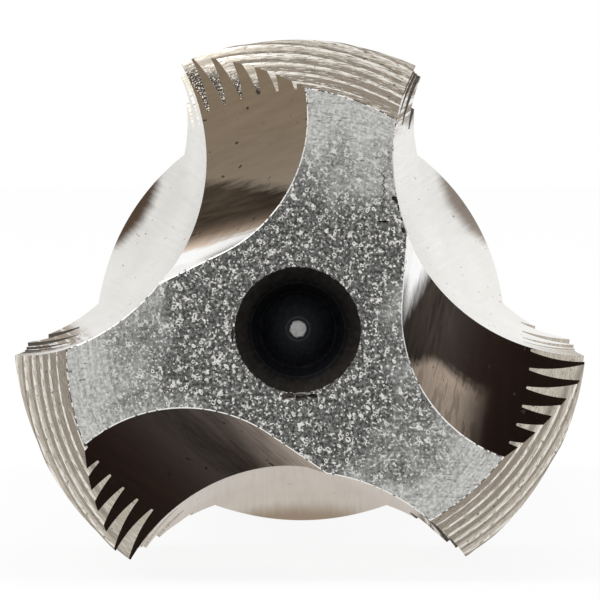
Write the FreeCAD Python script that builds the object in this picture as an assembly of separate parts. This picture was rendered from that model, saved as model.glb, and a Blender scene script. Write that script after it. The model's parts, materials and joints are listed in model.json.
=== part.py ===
import FreeCAD, Part

import math
import os

from FreeCAD import Vector

# A spiral point tap, M12 x 1.75, ground from one bar of tool steel. Millimetres and degrees.
# It is made with its axis along +Y, from the cutting point at y = 0 to the drive square,
# and is then laid on a table as it comes to rest: on two of its three lands and the end of its shank.
# The origin is on the table, under the middle of its length.
# Angles round the axis are as seen from the point, counter-clockwise from +X, with +Z at 90.

# Blank
overall_length = 110.0
thread_diameter = 12.0
thread_length = 29.0
thread_end_bevel_angle = 30.0
shank_diameter = 9.0
shank_end_round = 0.6

# Thread, right hand. Its groove crosses the end face at the start angle.
thread_pitch = 1.75
thread_angle = 60.0
crest_flat = 0.22
root_flat = 0.22
thread_start_angle = 263.0

# Lead: each land is chamfered by a cone whose axis is offset, so that it falls away behind the cutting edge
point_diameter = 9.89
lead_angle = 6.25
lead_relief = 0.53

# Straight flutes, ground by a wheel with a round rim that climbs out of the metal at the shank
land_count = 3
core_diameter = 5.72
flute_rim_radius = 4.08
flute_full_depth_length = 20.0
flute_wheel_radius = 55.0

# Spiral point: a gash in the cutting side of each land, which drives the chips ahead of the tap.
# On the end face it has a curved flank, a round corner past the land's centre line and a sloping floor.
gash_past_centre = 0.194
gash_corner_height = 4.32
gash_corner_radius = 3.07
gash_flank_radius = 2.8
gash_flank_start_angle = 11.5
gash_floor_angle = 25.8
spiral_point_angle = 11.8
gash_descent_angle = 3.55
gash_length = 15.0

# Centre holes in both ends
centre_mouth_diameter = 2.56
centre_cone_angle = 60.0
centre_pilot_diameter = 1.45
centre_pilot_depth = 2.75
centre_tip_angle = 118.0

# Drive square
square_across_flats = 7.0
square_length = 10.0
square_shoulder_radius = 2.0

# How far cutters stand out of the metal
margin = 1.0
thread_margin = 0.1

ORIGIN = Vector(0, 0, 0)
ACROSS = Vector(1, 0, 0)
AXIS = Vector(0, 1, 0)
UP = Vector(0, 0, 1)
TOP = 90.0

thread_radius = thread_diameter / 2
shank_radius = shank_diameter / 2
core_radius = core_diameter / 2
land_spacing = 360.0 / land_count


def tangent(angle):
    """The tangent of an angle in degrees."""
    return math.tan(math.radians(angle))


def on_circle(centre, radius, angle):
    """The (across, along) point of a circle at an angle from the across direction."""
    turn = math.radians(angle)
    return (centre[0] + radius * math.cos(turn), centre[1] + radius * math.sin(turn))


def in_plane(point):
    """A drawn (across, along) point in the plane z = 0."""
    return Vector(point[0], point[1], 0)


def lines(*points):
    """Straight edges through drawn points."""
    return Part.makePolygon([in_plane(point) for point in points]).Edges


def arc(centre, radius, start_angle, end_angle):
    """A round edge between two angles."""
    angles = (start_angle, (start_angle + end_angle) / 2, end_angle)
    points = [in_plane(on_circle(centre, radius, angle)) for angle in angles]
    return Part.Arc(*points).toShape()


def turned_about_axis(shape, angle):
    """A copy turned about the tap's axis, counter-clockwise as seen from the point."""
    copy = shape.copy()
    copy.rotate(ORIGIN, AXIS, -angle)
    return copy


def on_each_land(cutter):
    """Copies of a cutter made for the land at the top, one for each land."""
    return [turned_about_axis(cutter, index * land_spacing) for index in range(land_count)]


def revolved(edges):
    """A solid of revolution about the tap's axis, from its drawn half section."""
    return Part.Face(Part.Wire(edges)).revolve(ORIGIN, AXIS, 360)


def blank():
    """The turned bar: a threaded body with a bevelled rear end, and a thinner shank with a rounded one."""
    bevel_length = (thread_radius - shank_radius) / tangent(thread_end_bevel_angle)
    round_centre = (shank_radius - shank_end_round, overall_length - shank_end_round)
    sides = lines(
        (round_centre[0], overall_length),
        (0, overall_length),
        (0, 0),
        (thread_radius, 0),
        (thread_radius, thread_length - bevel_length),
        (shank_radius, thread_length),
        (shank_radius, round_centre[1]),
    )
    return revolved(sides + [arc(round_centre, shank_end_round, 0, 90)])


def flute_cutter():
    """What the wheel grinds out below the axis: a straight cut, then its own curve out to the shank."""
    rim_centre = Vector(0, flute_full_depth_length, -core_radius - flute_rim_radius)
    wheel_centre = Vector(0, flute_full_depth_length, -core_radius - flute_wheel_radius)
    start = Vector(0, -margin, rim_centre.z)
    straight = Part.makeCylinder(flute_rim_radius, flute_full_depth_length + margin, start, AXIS)
    climb = thread_radius + margin - core_radius
    run_out_angle = math.degrees(math.acos(1 - climb / flute_wheel_radius))
    rim = Part.Face(Part.Wire(Part.makeCircle(flute_rim_radius, rim_centre, AXIS)))
    run_out = rim.revolve(wheel_centre, ACROSS, -run_out_angle)
    return straight.fuse(run_out)


def lead_cutter():
    """What is ground off the top land to chamfer and relieve it: all that is outside the offset cone."""
    slope = tangent(lead_angle)
    start_radius = point_diameter / 2 - margin * slope
    outer_radius = thread_radius + lead_relief + margin
    length = (outer_radius - start_radius) / slope
    section = Part.Face(Part.Wire(lines(
        (start_radius, -margin),
        (outer_radius, -margin),
        (outer_radius, length - margin),
        (start_radius, -margin),
    )))
    section = turned_about_axis(section, TOP - land_spacing / 2)
    cutter = section.revolve(ORIGIN, AXIS, -land_spacing)
    cutter.translate(Vector(-lead_relief, 0, 0))
    return cutter


def gash_cutter():
    """The spiral point of the top land: its drawn section, swept towards the shank, out to the side and down."""
    corner_centre = (gash_corner_radius - gash_past_centre, gash_corner_height)
    flank_angle = 180 - gash_flank_start_angle
    floor_angle = 270 - gash_floor_angle
    corner = arc(corner_centre, gash_corner_radius, flank_angle, floor_angle)
    flank_centre = on_circle(corner_centre, gash_corner_radius - gash_flank_radius, flank_angle)
    top = thread_radius + margin
    rise = min((top - flank_centre[1]) / gash_flank_radius, 1)
    flank_end_angle = 180 - math.degrees(math.asin(rise))
    flank = arc(flank_centre, gash_flank_radius, flank_end_angle, flank_angle)
    floor_start = on_circle(corner_centre, gash_corner_radius, floor_angle)
    side = 2 * thread_radius
    sides = lines(
        floor_start,
        (side, floor_start[1] - (side - floor_start[0]) * tangent(gash_floor_angle)),
        (side, top),
        on_circle(flank_centre, gash_flank_radius, flank_end_angle),
    )
    section = Part.Face(Part.Wire([flank, corner] + sides))
    section.rotate(ORIGIN, ACROSS, 90)
    section.rotate(ORIGIN, UP, 180)
    sweep = Vector(-tangent(spiral_point_angle), 1, -tangent(gash_descent_angle))
    section.translate(sweep * -margin)
    return section.extrude(sweep * (gash_length + margin))


def groove_over_top_land():
    """One pass of the thread's V groove over the top land, from the middle of one flute to the next."""
    slope = tangent(thread_angle / 2)
    root_radius = thread_radius - (thread_pitch - crest_flat - root_flat) / (2 * slope)
    outer_radius = thread_radius + thread_margin
    half_root = root_flat / 2
    half_mouth = half_root + (outer_radius - root_radius) * slope
    advance = thread_pitch / land_count
    helix = Part.makeHelix(thread_pitch, advance, root_radius)
    corners = [
        Vector(root_radius, 0, -half_root),
        Vector(root_radius, 0, half_root),
        Vector(outer_radius, 0, half_mouth),
        Vector(outer_radius, 0, -half_mouth),
    ]
    section = Part.makePolygon(corners + corners[:1])
    groove = Part.Wire(helix.Edges).makePipeShell([section], True, True)
    groove.rotate(ORIGIN, ACROSS, -90)
    groove.translate(Vector(0, -advance / 2, 0))
    return turned_about_axis(groove, TOP + land_spacing / 2)


def thread_grooves():
    """All passes of the groove, which moves away from the point as it goes round clockwise."""
    turns = math.ceil(thread_length / thread_pitch)
    grooves = []
    for index, first in enumerate(on_each_land(groove_over_top_land())):
        land_angle = TOP + index * land_spacing
        depth = (thread_start_angle - land_angle) / 360 * thread_pitch
        for turn in range(-1, turns + 2):
            groove = first.copy()
            groove.translate(Vector(0, depth + turn * thread_pitch, 0))
            grooves.append(groove)
    return grooves


def centre_drill():
    """A centre drill that has entered the end face at y = 0."""
    mouth_radius = centre_mouth_diameter / 2
    pilot_radius = centre_pilot_diameter / 2
    slope = tangent(centre_cone_angle / 2)
    return revolved(lines(
        (0, -margin),
        (mouth_radius + margin * slope, -margin),
        (pilot_radius, (mouth_radius - pilot_radius) / slope),
        (pilot_radius, centre_pilot_depth),
        (0, centre_pilot_depth + pilot_radius / tangent(centre_tip_angle / 2)),
        (0, -margin),
    ))


def square_cutter():
    """What is milled off beside one flat of the drive square, up to a round shoulder."""
    flat = square_across_flats / 2
    start = overall_length - square_length
    shoulder_centre = (flat + square_shoulder_radius, start)
    shoulder_end = start - square_shoulder_radius
    outer = max(shank_radius, shoulder_centre[0]) + margin
    shoulder = arc(shoulder_centre, square_shoulder_radius, 180, 270)
    sides = lines(
        (shoulder_centre[0], shoulder_end),
        (outer, shoulder_end),
        (outer, overall_length + margin),
        (flat, overall_length + margin),
        (flat, start),
    )
    section = Part.Face(Part.Wire([shoulder] + sides))
    section.translate(Vector(0, 0, -outer))
    return section.extrude(Vector(0, 0, 2 * outer))


def tap():
    """The finished tap, with its axis along +Y and its point at the origin."""
    body = blank().cut(on_each_land(flute_cutter()))
    body = body.cut(on_each_land(lead_cutter()))
    body = body.cut(on_each_land(gash_cutter()))
    body = body.cut(thread_grooves())
    drill = centre_drill()
    middle = Vector(0, overall_length / 2, 0)
    squares = [turned_about_axis(square_cutter(), 90 * side) for side in range(4)]
    return body.cut([drill, drill.mirror(middle, AXIS)] + squares)


def rest_angle(body):
    """How far the axis dips towards the shank, from the land corner that touches the table first."""
    rear = overall_length - shank_end_round
    corners = [vertex for vertex in body.Vertexes if vertex.Y < thread_length]
    return math.atan(max((-corner.Z - shank_radius) / (rear - corner.Y) for corner in corners))


def laid_down(body):
    """The tap at rest on the plane z = 0."""
    dip = rest_angle(body)
    rear = overall_length - shank_end_round
    axis_height = shank_radius * math.cos(dip) + rear * math.sin(dip)
    laid = body.copy()
    laid.rotate(ORIGIN, ACROSS, -math.degrees(dip))
    laid.translate(Vector(0, -overall_length / 2 * math.cos(dip), axis_height))
    return laid


if __name__ == "__main__":
    os.makedirs("parts", exist_ok=True)
    laid_down(tap()).exportStep("parts/spiral_point_tap.step")
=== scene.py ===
"""A spiral point tap, seen from its cutting end as it lies on a pale floor.

The tap is modelled the way it is made: a turned blank is cut by the same tools as the real one, each tool
leaves its own finish on the faces that it makes, and the finished tap is laid where the CAD model lies.
"""

from __future__ import annotations

import json
import logging
import math
from collections.abc import Callable, Iterator
from contextlib import contextmanager
from dataclasses import dataclass
from enum import Enum
from functools import cached_property

import bpy
from mathutils import Matrix, Vector

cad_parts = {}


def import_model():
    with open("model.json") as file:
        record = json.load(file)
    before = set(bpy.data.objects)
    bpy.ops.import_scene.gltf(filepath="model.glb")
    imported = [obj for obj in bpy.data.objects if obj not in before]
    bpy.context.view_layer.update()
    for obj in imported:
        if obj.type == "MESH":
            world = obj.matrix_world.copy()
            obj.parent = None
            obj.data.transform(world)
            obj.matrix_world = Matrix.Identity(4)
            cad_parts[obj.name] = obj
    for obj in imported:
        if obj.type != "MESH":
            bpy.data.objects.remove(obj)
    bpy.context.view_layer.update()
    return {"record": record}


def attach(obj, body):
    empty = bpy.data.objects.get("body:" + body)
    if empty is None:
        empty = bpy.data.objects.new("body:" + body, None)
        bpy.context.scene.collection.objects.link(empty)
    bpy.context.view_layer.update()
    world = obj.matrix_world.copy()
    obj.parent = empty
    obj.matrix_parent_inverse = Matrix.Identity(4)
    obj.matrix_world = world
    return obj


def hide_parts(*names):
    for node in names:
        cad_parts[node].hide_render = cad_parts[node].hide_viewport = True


log = logging.getLogger("spiral_point_tap")

MM = 0.001
ORIGIN = Vector((0, 0, 0))
ACROSS = Vector((1, 0, 0))
AXIS = Vector((0, 1, 0))
UP = Vector((0, 0, 1))
TOP = 90.0
LAND_COUNT = 3
LAND_SPACING = 360.0 / LAND_COUNT
MARGIN = 1.0
RUN_OUT = (14.0, 18.0)

Point = Vector | tuple[float, float, float]
Colour = tuple[float, float, float]
WHITE: Colour = (1.0, 1.0, 1.0)


class Axis(Enum):
    """A line through the origin that a shape can turn about."""

    SIDEWAYS = "X"
    OWN = "Y"


class End(Enum):
    """An end of the tap, with the way along the axis that leads into it."""

    POINT = 1
    SHANK = -1


class Ray(Enum):
    """A ray that shows the background, with the Light Path node's number for it."""

    CAMERA = 0
    GLOSS = 3
    GLASS = 6


class Piece(Enum):
    """What of a mesh is selected, with the mesh's name for its list."""

    EDGE = "edges"
    FACE = "polygons"


def nothing_selected() -> None:
    """Leave edit mode and deselect every object."""
    if bpy.context.object and bpy.context.object.mode != "OBJECT":
        bpy.ops.object.mode_set(mode="OBJECT")
    bpy.ops.object.select_all(action="DESELECT")


def on_circle(centre: tuple[float, float], radius: float, angle: float) -> tuple[float, float]:
    """Find a point of a drawn circle.

    Args:
        centre: The circle's centre, across and along.
        radius: The circle's radius.
        angle: Degrees from the across direction.

    Returns:
        The point, across and along.
    """
    turn = math.radians(angle)
    return (centre[0] + radius * math.cos(turn), centre[1] + radius * math.sin(turn))


def tangent(angle: float) -> float:
    """Return the tangent of an angle in degrees."""
    return math.tan(math.radians(angle))


class Shape:
    """A mesh that is modelled with Blender's own operators, in millimetres round the world's origin."""

    weld = 0.0002

    def __init__(self, body: bpy.types.Object) -> None:
        """Take over an object that stands at the origin."""
        self.body = body
        self.pen = Vector(ORIGIN)

    @classmethod
    def drawn_from(cls, name: str, start: Point) -> Shape:
        """Begin an outline with a single vertex.

        Args:
            name: What the object is called.
            start: Where the outline starts.

        Returns:
            The shape, in edit mode, with that vertex selected.
        """
        nothing_selected()
        bpy.ops.mesh.primitive_plane_add(size=MM)
        shape = cls(bpy.context.object)
        shape.body.name = name
        bpy.ops.object.mode_set(mode="EDIT")
        bpy.ops.mesh.merge(type="CENTER")
        bpy.ops.transform.translate(value=Vector(start) * MM)
        shape.pen = Vector(start)
        return shape

    @classmethod
    def circle(cls, name: str, centre: Point, radius: float, steps: int) -> Shape:
        """Begin with a circle that faces along the tap's axis.

        Args:
            name: What the object is called.
            centre: The circle's centre.
            radius: The circle's radius.
            steps: How many vertices it has.

        Returns:
            The shape, in edit mode, with the circle selected.
        """
        nothing_selected()
        bpy.ops.mesh.primitive_circle_add(vertices=steps, radius=radius * MM, rotation=(math.pi / 2, 0, 0))
        bpy.ops.object.transform_apply()
        shape = cls(bpy.context.object)
        shape.body.name = name
        bpy.ops.object.mode_set(mode="EDIT")
        bpy.ops.mesh.select_all(action="SELECT")
        bpy.ops.transform.translate(value=Vector(centre) * MM)
        return shape

    def pull(self, step: Point) -> None:
        """Extrude what is selected by a straight step."""
        bpy.ops.mesh.extrude_region_move(TRANSFORM_OT_translate={"value": Vector(step) * MM})
        self.pen += Vector(step)

    def line_to(self, *points: Point) -> None:
        """Draw straight lines on from the pen."""
        for point in points:
            self.pull(Vector(point) - self.pen)

    def swing(self, centre: Point, axis: Vector, angle: float, steps: int) -> None:
        """Extrude what is selected round an axis, counter-clockwise as the axis points at the eye.

        Args:
            centre: A point of the axis.
            axis: Its direction.
            angle: How far to turn, in degrees.
            steps: How many pieces the turn has.
        """
        turn = math.radians(angle)
        bpy.ops.mesh.spin(steps=steps, angle=-turn, center=Vector(centre) * MM, axis=axis)
        self.pen = Vector(centre) + Matrix.Rotation(turn, 3, axis) @ (self.pen - Vector(centre))

    def join_ends(self) -> None:
        """Close the drawn outline, leave it all selected, and keep it a wire."""
        bpy.ops.mesh.select_all(action="SELECT")
        bpy.ops.mesh.edge_face_add()
        bpy.ops.mesh.delete(type="ONLY_FACE")
        bpy.ops.mesh.select_all(action="SELECT")

    def revolve(self, angle: float, steps: int) -> None:
        """Turn the whole outline about the tap's axis, counter-clockwise as seen from the point."""
        bpy.ops.mesh.select_all(action="SELECT")
        self.swing(ORIGIN, AXIS, -angle, steps)

    def activate(self) -> None:
        """Select this object alone."""
        nothing_selected()
        self.body.select_set(True)
        bpy.context.view_layer.objects.active = self.body

    @contextmanager
    def editing(self) -> Iterator[None]:
        """Go into edit mode with the whole mesh selected, and out of it afterwards."""
        self.activate()
        bpy.ops.object.mode_set(mode="EDIT")
        bpy.ops.mesh.select_all(action="SELECT")
        yield
        bpy.ops.object.mode_set(mode="OBJECT")

    @contextmanager
    def picking(self, piece: Piece, where: Callable[[bpy.types.bpy_struct], bool]) -> Iterator[None]:
        """Go into edit mode with some edges or faces selected, and out of it afterwards.

        Args:
            piece: Whether edges or faces are picked.
            where: Says of an edge or face whether it is picked.

        Yields:
            Nothing, in edit mode.
        """
        with self.editing():
            bpy.ops.mesh.select_mode(type=piece.name)
            bpy.ops.mesh.select_all(action="DESELECT")
        for item in getattr(self.body.data, piece.value):
            item.select = where(item)
        bpy.ops.object.mode_set(mode="EDIT")
        yield
        bpy.ops.mesh.select_mode(type="VERT")
        bpy.ops.object.mode_set(mode="OBJECT")

    def close(self) -> None:
        """Merge doubles, cap open ends, turn the faces outwards and leave edit mode."""
        with self.editing():
            bpy.ops.mesh.remove_doubles(threshold=self.weld * MM)
            bpy.ops.mesh.fill_holes(sides=0)
            bpy.ops.mesh.normals_make_consistent(inside=False)

    def move(self, step: Point) -> None:
        """Move the whole mesh."""
        with self.editing():
            bpy.ops.transform.translate(value=Vector(step) * MM)

    def turn(self, angle: float, axis: Axis) -> None:
        """Turn the whole mesh, counter-clockwise as the axis points at the eye.

        Args:
            angle: How far to turn, in degrees.
            axis: The line to turn about.
        """
        with self.editing():
            bpy.ops.transform.rotate(
                value=-math.radians(angle), orient_axis=axis.value, center_override=ORIGIN
            )

    def copies(self, count: int) -> list[Shape]:
        """Repeat the shape evenly round the tap's axis.

        Args:
            count: How many there are in all.

        Returns:
            This shape and its copies, counter-clockwise as seen from the point.
        """
        shapes = [self]
        for index in range(1, count):
            self.activate()
            bpy.ops.object.duplicate()
            copy = Shape(bpy.context.object)
            copy.turn(-360.0 / count * index, Axis.OWN)
            shapes.append(copy)
        return shapes

    def dress(self, material: bpy.types.Material, where: Callable[[bpy.types.MeshPolygon], bool]) -> None:
        """Give a material to the faces that a test picks.

        Args:
            material: The finish's material.
            where: Says of a face whether it is one of them.
        """
        self.body.data.materials.append(material)
        with self.picking(Piece.FACE, where):
            self.body.active_material_index = len(self.body.data.materials) - 1
            bpy.ops.object.material_slot_assign()

    def cut(self, cutter: Shape, material: bpy.types.Material) -> None:
        """Cut away what another shape holds, and use that shape up.

        Args:
            cutter: The other shape.
            material: What the new faces get.
        """
        cutter.body.data.materials.append(material)
        self.activate()
        cut = self.body.modifiers.new("cut", "BOOLEAN")
        cut.operation = "DIFFERENCE"
        cut.solver = "MANIFOLD"
        cut.material_mode = "TRANSFER"
        cut.object = cutter.body
        bpy.ops.object.modifier_apply(modifier=cut.name)
        cutter.activate()
        bpy.ops.object.delete()


@dataclass(frozen=True)
class Blank:
    """The turned bar: a body for the thread, bevelled at its rear end, and a thinner shank."""

    overall_length: float = 110.0
    thread_radius: float = 6.0
    thread_length: float = 29.0
    thread_end_bevel_angle: float = 30.0
    shank_radius: float = 4.5
    shank_end_round: float = 0.6
    steps: int = 288
    round_steps: int = 8
    end_facing: float = 0.99

    def model(self, end: bpy.types.Material, land: bpy.types.Material, shank: bpy.types.Material) -> Shape:
        """Turn the bar.

        Args:
            end: The material of both end faces.
            land: The material of the thread's body.
            shank: The material of the shank.

        Returns:
            The blank, with its axis along +Y and its point at the origin.
        """
        bevel = (self.thread_radius - self.shank_radius) / tangent(self.thread_end_bevel_angle)
        rounding = self.shank_end_round
        corner = (self.shank_radius - rounding, self.overall_length - rounding, 0)
        blank = Shape.drawn_from("spiral_point_tap_ground", (self.thread_radius, 0, 0))
        blank.line_to(
            (self.thread_radius, self.thread_length - bevel, 0),
            (self.shank_radius, self.thread_length, 0),
            (self.shank_radius, corner[1], 0),
        )
        blank.swing(corner, UP, 90, self.round_steps)
        blank.revolve(360, self.steps)
        blank.close()
        blank.dress(shank, lambda face: True)
        blank.dress(land, lambda face: face.center.y < self.thread_length * MM)
        blank.dress(end, lambda face: abs(face.normal.y) > self.end_facing)
        return blank


@dataclass(frozen=True)
class Flutes:
    """Three straight flutes, ground by a wheel with a round rim that climbs out of the metal."""

    core_radius: float = 2.86
    rim_radius: float = 4.08
    full_depth_length: float = 20.0
    wheel_radius: float = 55.0
    rim_steps: int = 240
    climb_steps: int = 72

    def cutters(self, reach: float) -> list[Shape]:
        """Model what the wheel grinds out below each of the three places.

        Args:
            reach: How far from the axis the cut goes on.

        Returns:
            The three cutters.
        """
        rim_centre = Vector((0, -MARGIN, -self.core_radius - self.rim_radius))
        wheel_centre = Vector((0, self.full_depth_length, -self.core_radius - self.wheel_radius))
        climb = math.degrees(math.acos(1 - (reach - self.core_radius) / self.wheel_radius))
        cutter = Shape.circle("flute", rim_centre, self.rim_radius, self.rim_steps)
        cutter.pull((0, self.full_depth_length + MARGIN, 0))
        cutter.swing(wheel_centre, ACROSS, -climb, self.climb_steps)
        cutter.close()
        return cutter.copies(LAND_COUNT)


@dataclass(frozen=True)
class Lead:
    """The chamfer at the point: an offset cone on each land, which falls away behind the cutting edge."""

    point_radius: float = 4.945
    angle: float = 6.25
    relief: float = 0.53
    steps: int = 96

    def cutters(self, reach: float) -> list[Shape]:
        """Model all that is outside the cones.

        Args:
            reach: How far from the axis the cut goes on.

        Returns:
            The three cutters.
        """
        slope = tangent(self.angle)
        start = self.point_radius - MARGIN * slope
        outer = reach + self.relief
        length = (outer - start) / slope
        cutter = Shape.drawn_from("lead", (start, -MARGIN, 0))
        cutter.line_to((outer, -MARGIN, 0), (outer, length - MARGIN, 0))
        cutter.join_ends()
        cutter.revolve(LAND_SPACING, self.steps)
        cutter.close()
        cutter.turn(-(TOP - LAND_SPACING / 2), Axis.OWN)
        cutter.move((-self.relief, 0, 0))
        return cutter.copies(LAND_COUNT)


@dataclass(frozen=True)
class SpiralPoint:
    """The gash in the cutting side of each land: a curved flank, a round corner and a sloping floor."""

    past_centre: float = 0.194
    corner_height: float = 4.32
    corner_radius: float = 3.07
    flank_radius: float = 2.8
    flank_start_angle: float = 11.5
    floor_angle: float = 25.8
    side_angle: float = 11.8
    descent_angle: float = 3.55
    length: float = 15.0
    steps: int = 48

    def cutters(self, reach: float) -> list[Shape]:
        """Model the gashes: a section on the end face, swept towards the shank, aside and down.

        Args:
            reach: How far from the axis the cut goes on.

        Returns:
            The three cutters.
        """
        corner = (self.corner_radius - self.past_centre, self.corner_height)
        flank_turn = 180 - self.flank_start_angle
        floor_turn = 270 - self.floor_angle
        flank = on_circle(corner, self.corner_radius - self.flank_radius, flank_turn)
        end_turn = 180 - math.degrees(math.asin(min((reach - flank[1]) / self.flank_radius, 1)))
        side = 2 * reach
        floor = on_circle(corner, self.corner_radius, floor_turn)
        low = floor[1] - (side - floor[0]) * tangent(self.floor_angle)
        tip = on_circle(flank, self.flank_radius, end_turn)
        cutter = Shape.drawn_from("gash", (-tip[0], 0, tip[1]))
        cutter.swing((-flank[0], 0, flank[1]), AXIS, flank_turn - end_turn, self.steps)
        cutter.swing((-corner[0], 0, corner[1]), AXIS, floor_turn - flank_turn, self.steps)
        cutter.line_to((-side, 0, low), (-side, 0, reach))
        cutter.join_ends()
        sweep = Vector((-tangent(self.side_angle), 1, -tangent(self.descent_angle)))
        bpy.ops.transform.translate(value=sweep * -MARGIN * MM)
        cutter.pull(sweep * (self.length + MARGIN))
        cutter.close()
        return cutter.copies(LAND_COUNT)


@dataclass(frozen=True)
class Thread:
    """The right-hand thread: one V groove that winds round the whole body."""

    pitch: float = 1.75
    angle: float = 60.0
    crest_flat: float = 0.22
    root_flat: float = 0.22
    start_angle: float = 263.0
    clearance: float = 0.1
    steps: int = 300

    def cutter(self, radius: float, length: float) -> Shape:
        """Model the groove.

        Args:
            radius: The thread's outer radius.
            length: How far from the point the groove winds.

        Returns:
            The cutter.
        """
        slope = tangent(self.angle / 2)
        root = radius - (self.pitch - self.crest_flat - self.root_flat) / (2 * slope)
        outer = radius + self.clearance
        half_root = self.root_flat / 2
        half_mouth = half_root + (outer - root) * slope
        first = self.start_angle / 360 * self.pitch - 2 * self.pitch
        groove = Shape.drawn_from("thread_groove", (root, first - half_root, 0))
        groove.line_to(
            (root, first + half_root, 0),
            (outer, first + half_mouth, 0),
            (outer, first - half_mouth, 0),
        )
        groove.join_ends()
        groove.activate()
        winding = groove.body.modifiers.new("winding", "SCREW")
        winding.axis = "Y"
        winding.angle = math.tau
        winding.screw_offset = self.pitch * MM
        winding.steps = self.steps
        winding.render_steps = self.steps
        winding.iterations = math.ceil((length - first) / self.pitch)
        bpy.ops.object.modifier_apply(modifier=winding.name)
        groove.close()
        return groove


@dataclass(frozen=True)
class CentreHole:
    """A hole in each end that centres the tap for grinding: a cone, a pilot and a drill's tip."""

    mouth_radius: float = 1.28
    cone_angle: float = 60.0
    pilot_radius: float = 0.725
    pilot_depth: float = 2.75
    tip_angle: float = 118.0
    steps: int = 144

    def cutter(self, place: float, end: End) -> Shape:
        """Model a centre drill that has entered an end face.

        Args:
            place: Where that face is along the axis.
            end: Which end it is.

        Returns:
            The cutter.
        """
        inwards = end.value
        slope = tangent(self.cone_angle / 2)
        depths = (
            (self.mouth_radius + MARGIN * slope, -MARGIN),
            (self.pilot_radius, (self.mouth_radius - self.pilot_radius) / slope),
            (self.pilot_radius, self.pilot_depth),
            (0, self.pilot_depth + self.pilot_radius / tangent(self.tip_angle / 2)),
        )
        drill = Shape.drawn_from("centre_drill", (0, place - inwards * MARGIN, 0))
        drill.line_to(*[(radius, place + inwards * depth, 0) for radius, depth in depths])
        drill.revolve(360, self.steps)
        drill.close()
        return drill


@dataclass(frozen=True)
class DriveSquare:
    """The square at the shank's end, milled up to a round shoulder."""

    across_flats: float = 7.0
    length: float = 10.0
    shoulder_radius: float = 2.0
    flat_count: int = 4
    steps: int = 24

    def cutters(self, end: float, reach: float) -> list[Shape]:
        """Model what is milled off beside each of the flats.

        Args:
            end: Where the shank ends along the axis.
            reach: How far from the axis the cut goes on.

        Returns:
            The four cutters.
        """
        flat = self.across_flats / 2
        start = end - self.length
        outer = reach + MARGIN
        cutter = Shape.drawn_from("square", (flat, end + MARGIN, -outer))
        cutter.line_to((flat, start, -outer))
        cutter.swing((flat + self.shoulder_radius, start, -outer), UP, 90, self.steps)
        cutter.line_to((outer, start - self.shoulder_radius, -outer), (outer, end + MARGIN, -outer))
        cutter.join_ends()
        cutter.pull((0, 0, 2 * outer))
        cutter.close()
        return cutter.copies(self.flat_count)


def operator(operation: str, swapped: bool = False) -> Callable[[Wire, Number], Wire]:
    """Make one of Python's operators add a Math node.

    Args:
        operation: The node's operation.
        swapped: Whether the wire is the second of the two numbers.

    Returns:
        The operator's method.
    """

    def apply(self: Wire, other: Number) -> Wire:
        """Return the result of the two numbers."""
        pair = (other, self) if swapped else (self, other)
        return self.surface.maths(operation, *pair)

    return apply


class Wire:
    """A number that varies over a surface, or a shader. Python's operators on it add Math nodes."""

    __add__ = operator("ADD")
    __radd__ = operator("ADD", swapped=True)
    __sub__ = operator("SUBTRACT")
    __rsub__ = operator("SUBTRACT", swapped=True)
    __mul__ = operator("MULTIPLY")
    __rmul__ = operator("MULTIPLY", swapped=True)
    __truediv__ = operator("DIVIDE")

    def __init__(self, surface: Nodes, socket: bpy.types.NodeSocket) -> None:
        """Hold one output socket of a surface's nodes."""
        self.surface = surface
        self.socket = socket

    def step(self, low: float, high: float, before: float, after: float) -> Wire:
        """Return a smooth step from one value below the low number to another above the high one."""
        settings = {"interpolation_type": "SMOOTHSTEP"}
        return self.surface.node("ShaderNodeMapRange", settings, self, low, high, before, after)

    def rises(self, low: float, high: float) -> Wire:
        """Return a smooth step from 0 at the low number to 1 at the high one."""
        return self.step(low, high, 0.0, 1.0)

    def falls(self, low: float, high: float) -> Wire:
        """Return a smooth step from 1 at the low number to 0 at the high one."""
        return self.step(low, high, 1.0, 0.0)


Number = Wire | float


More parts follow.
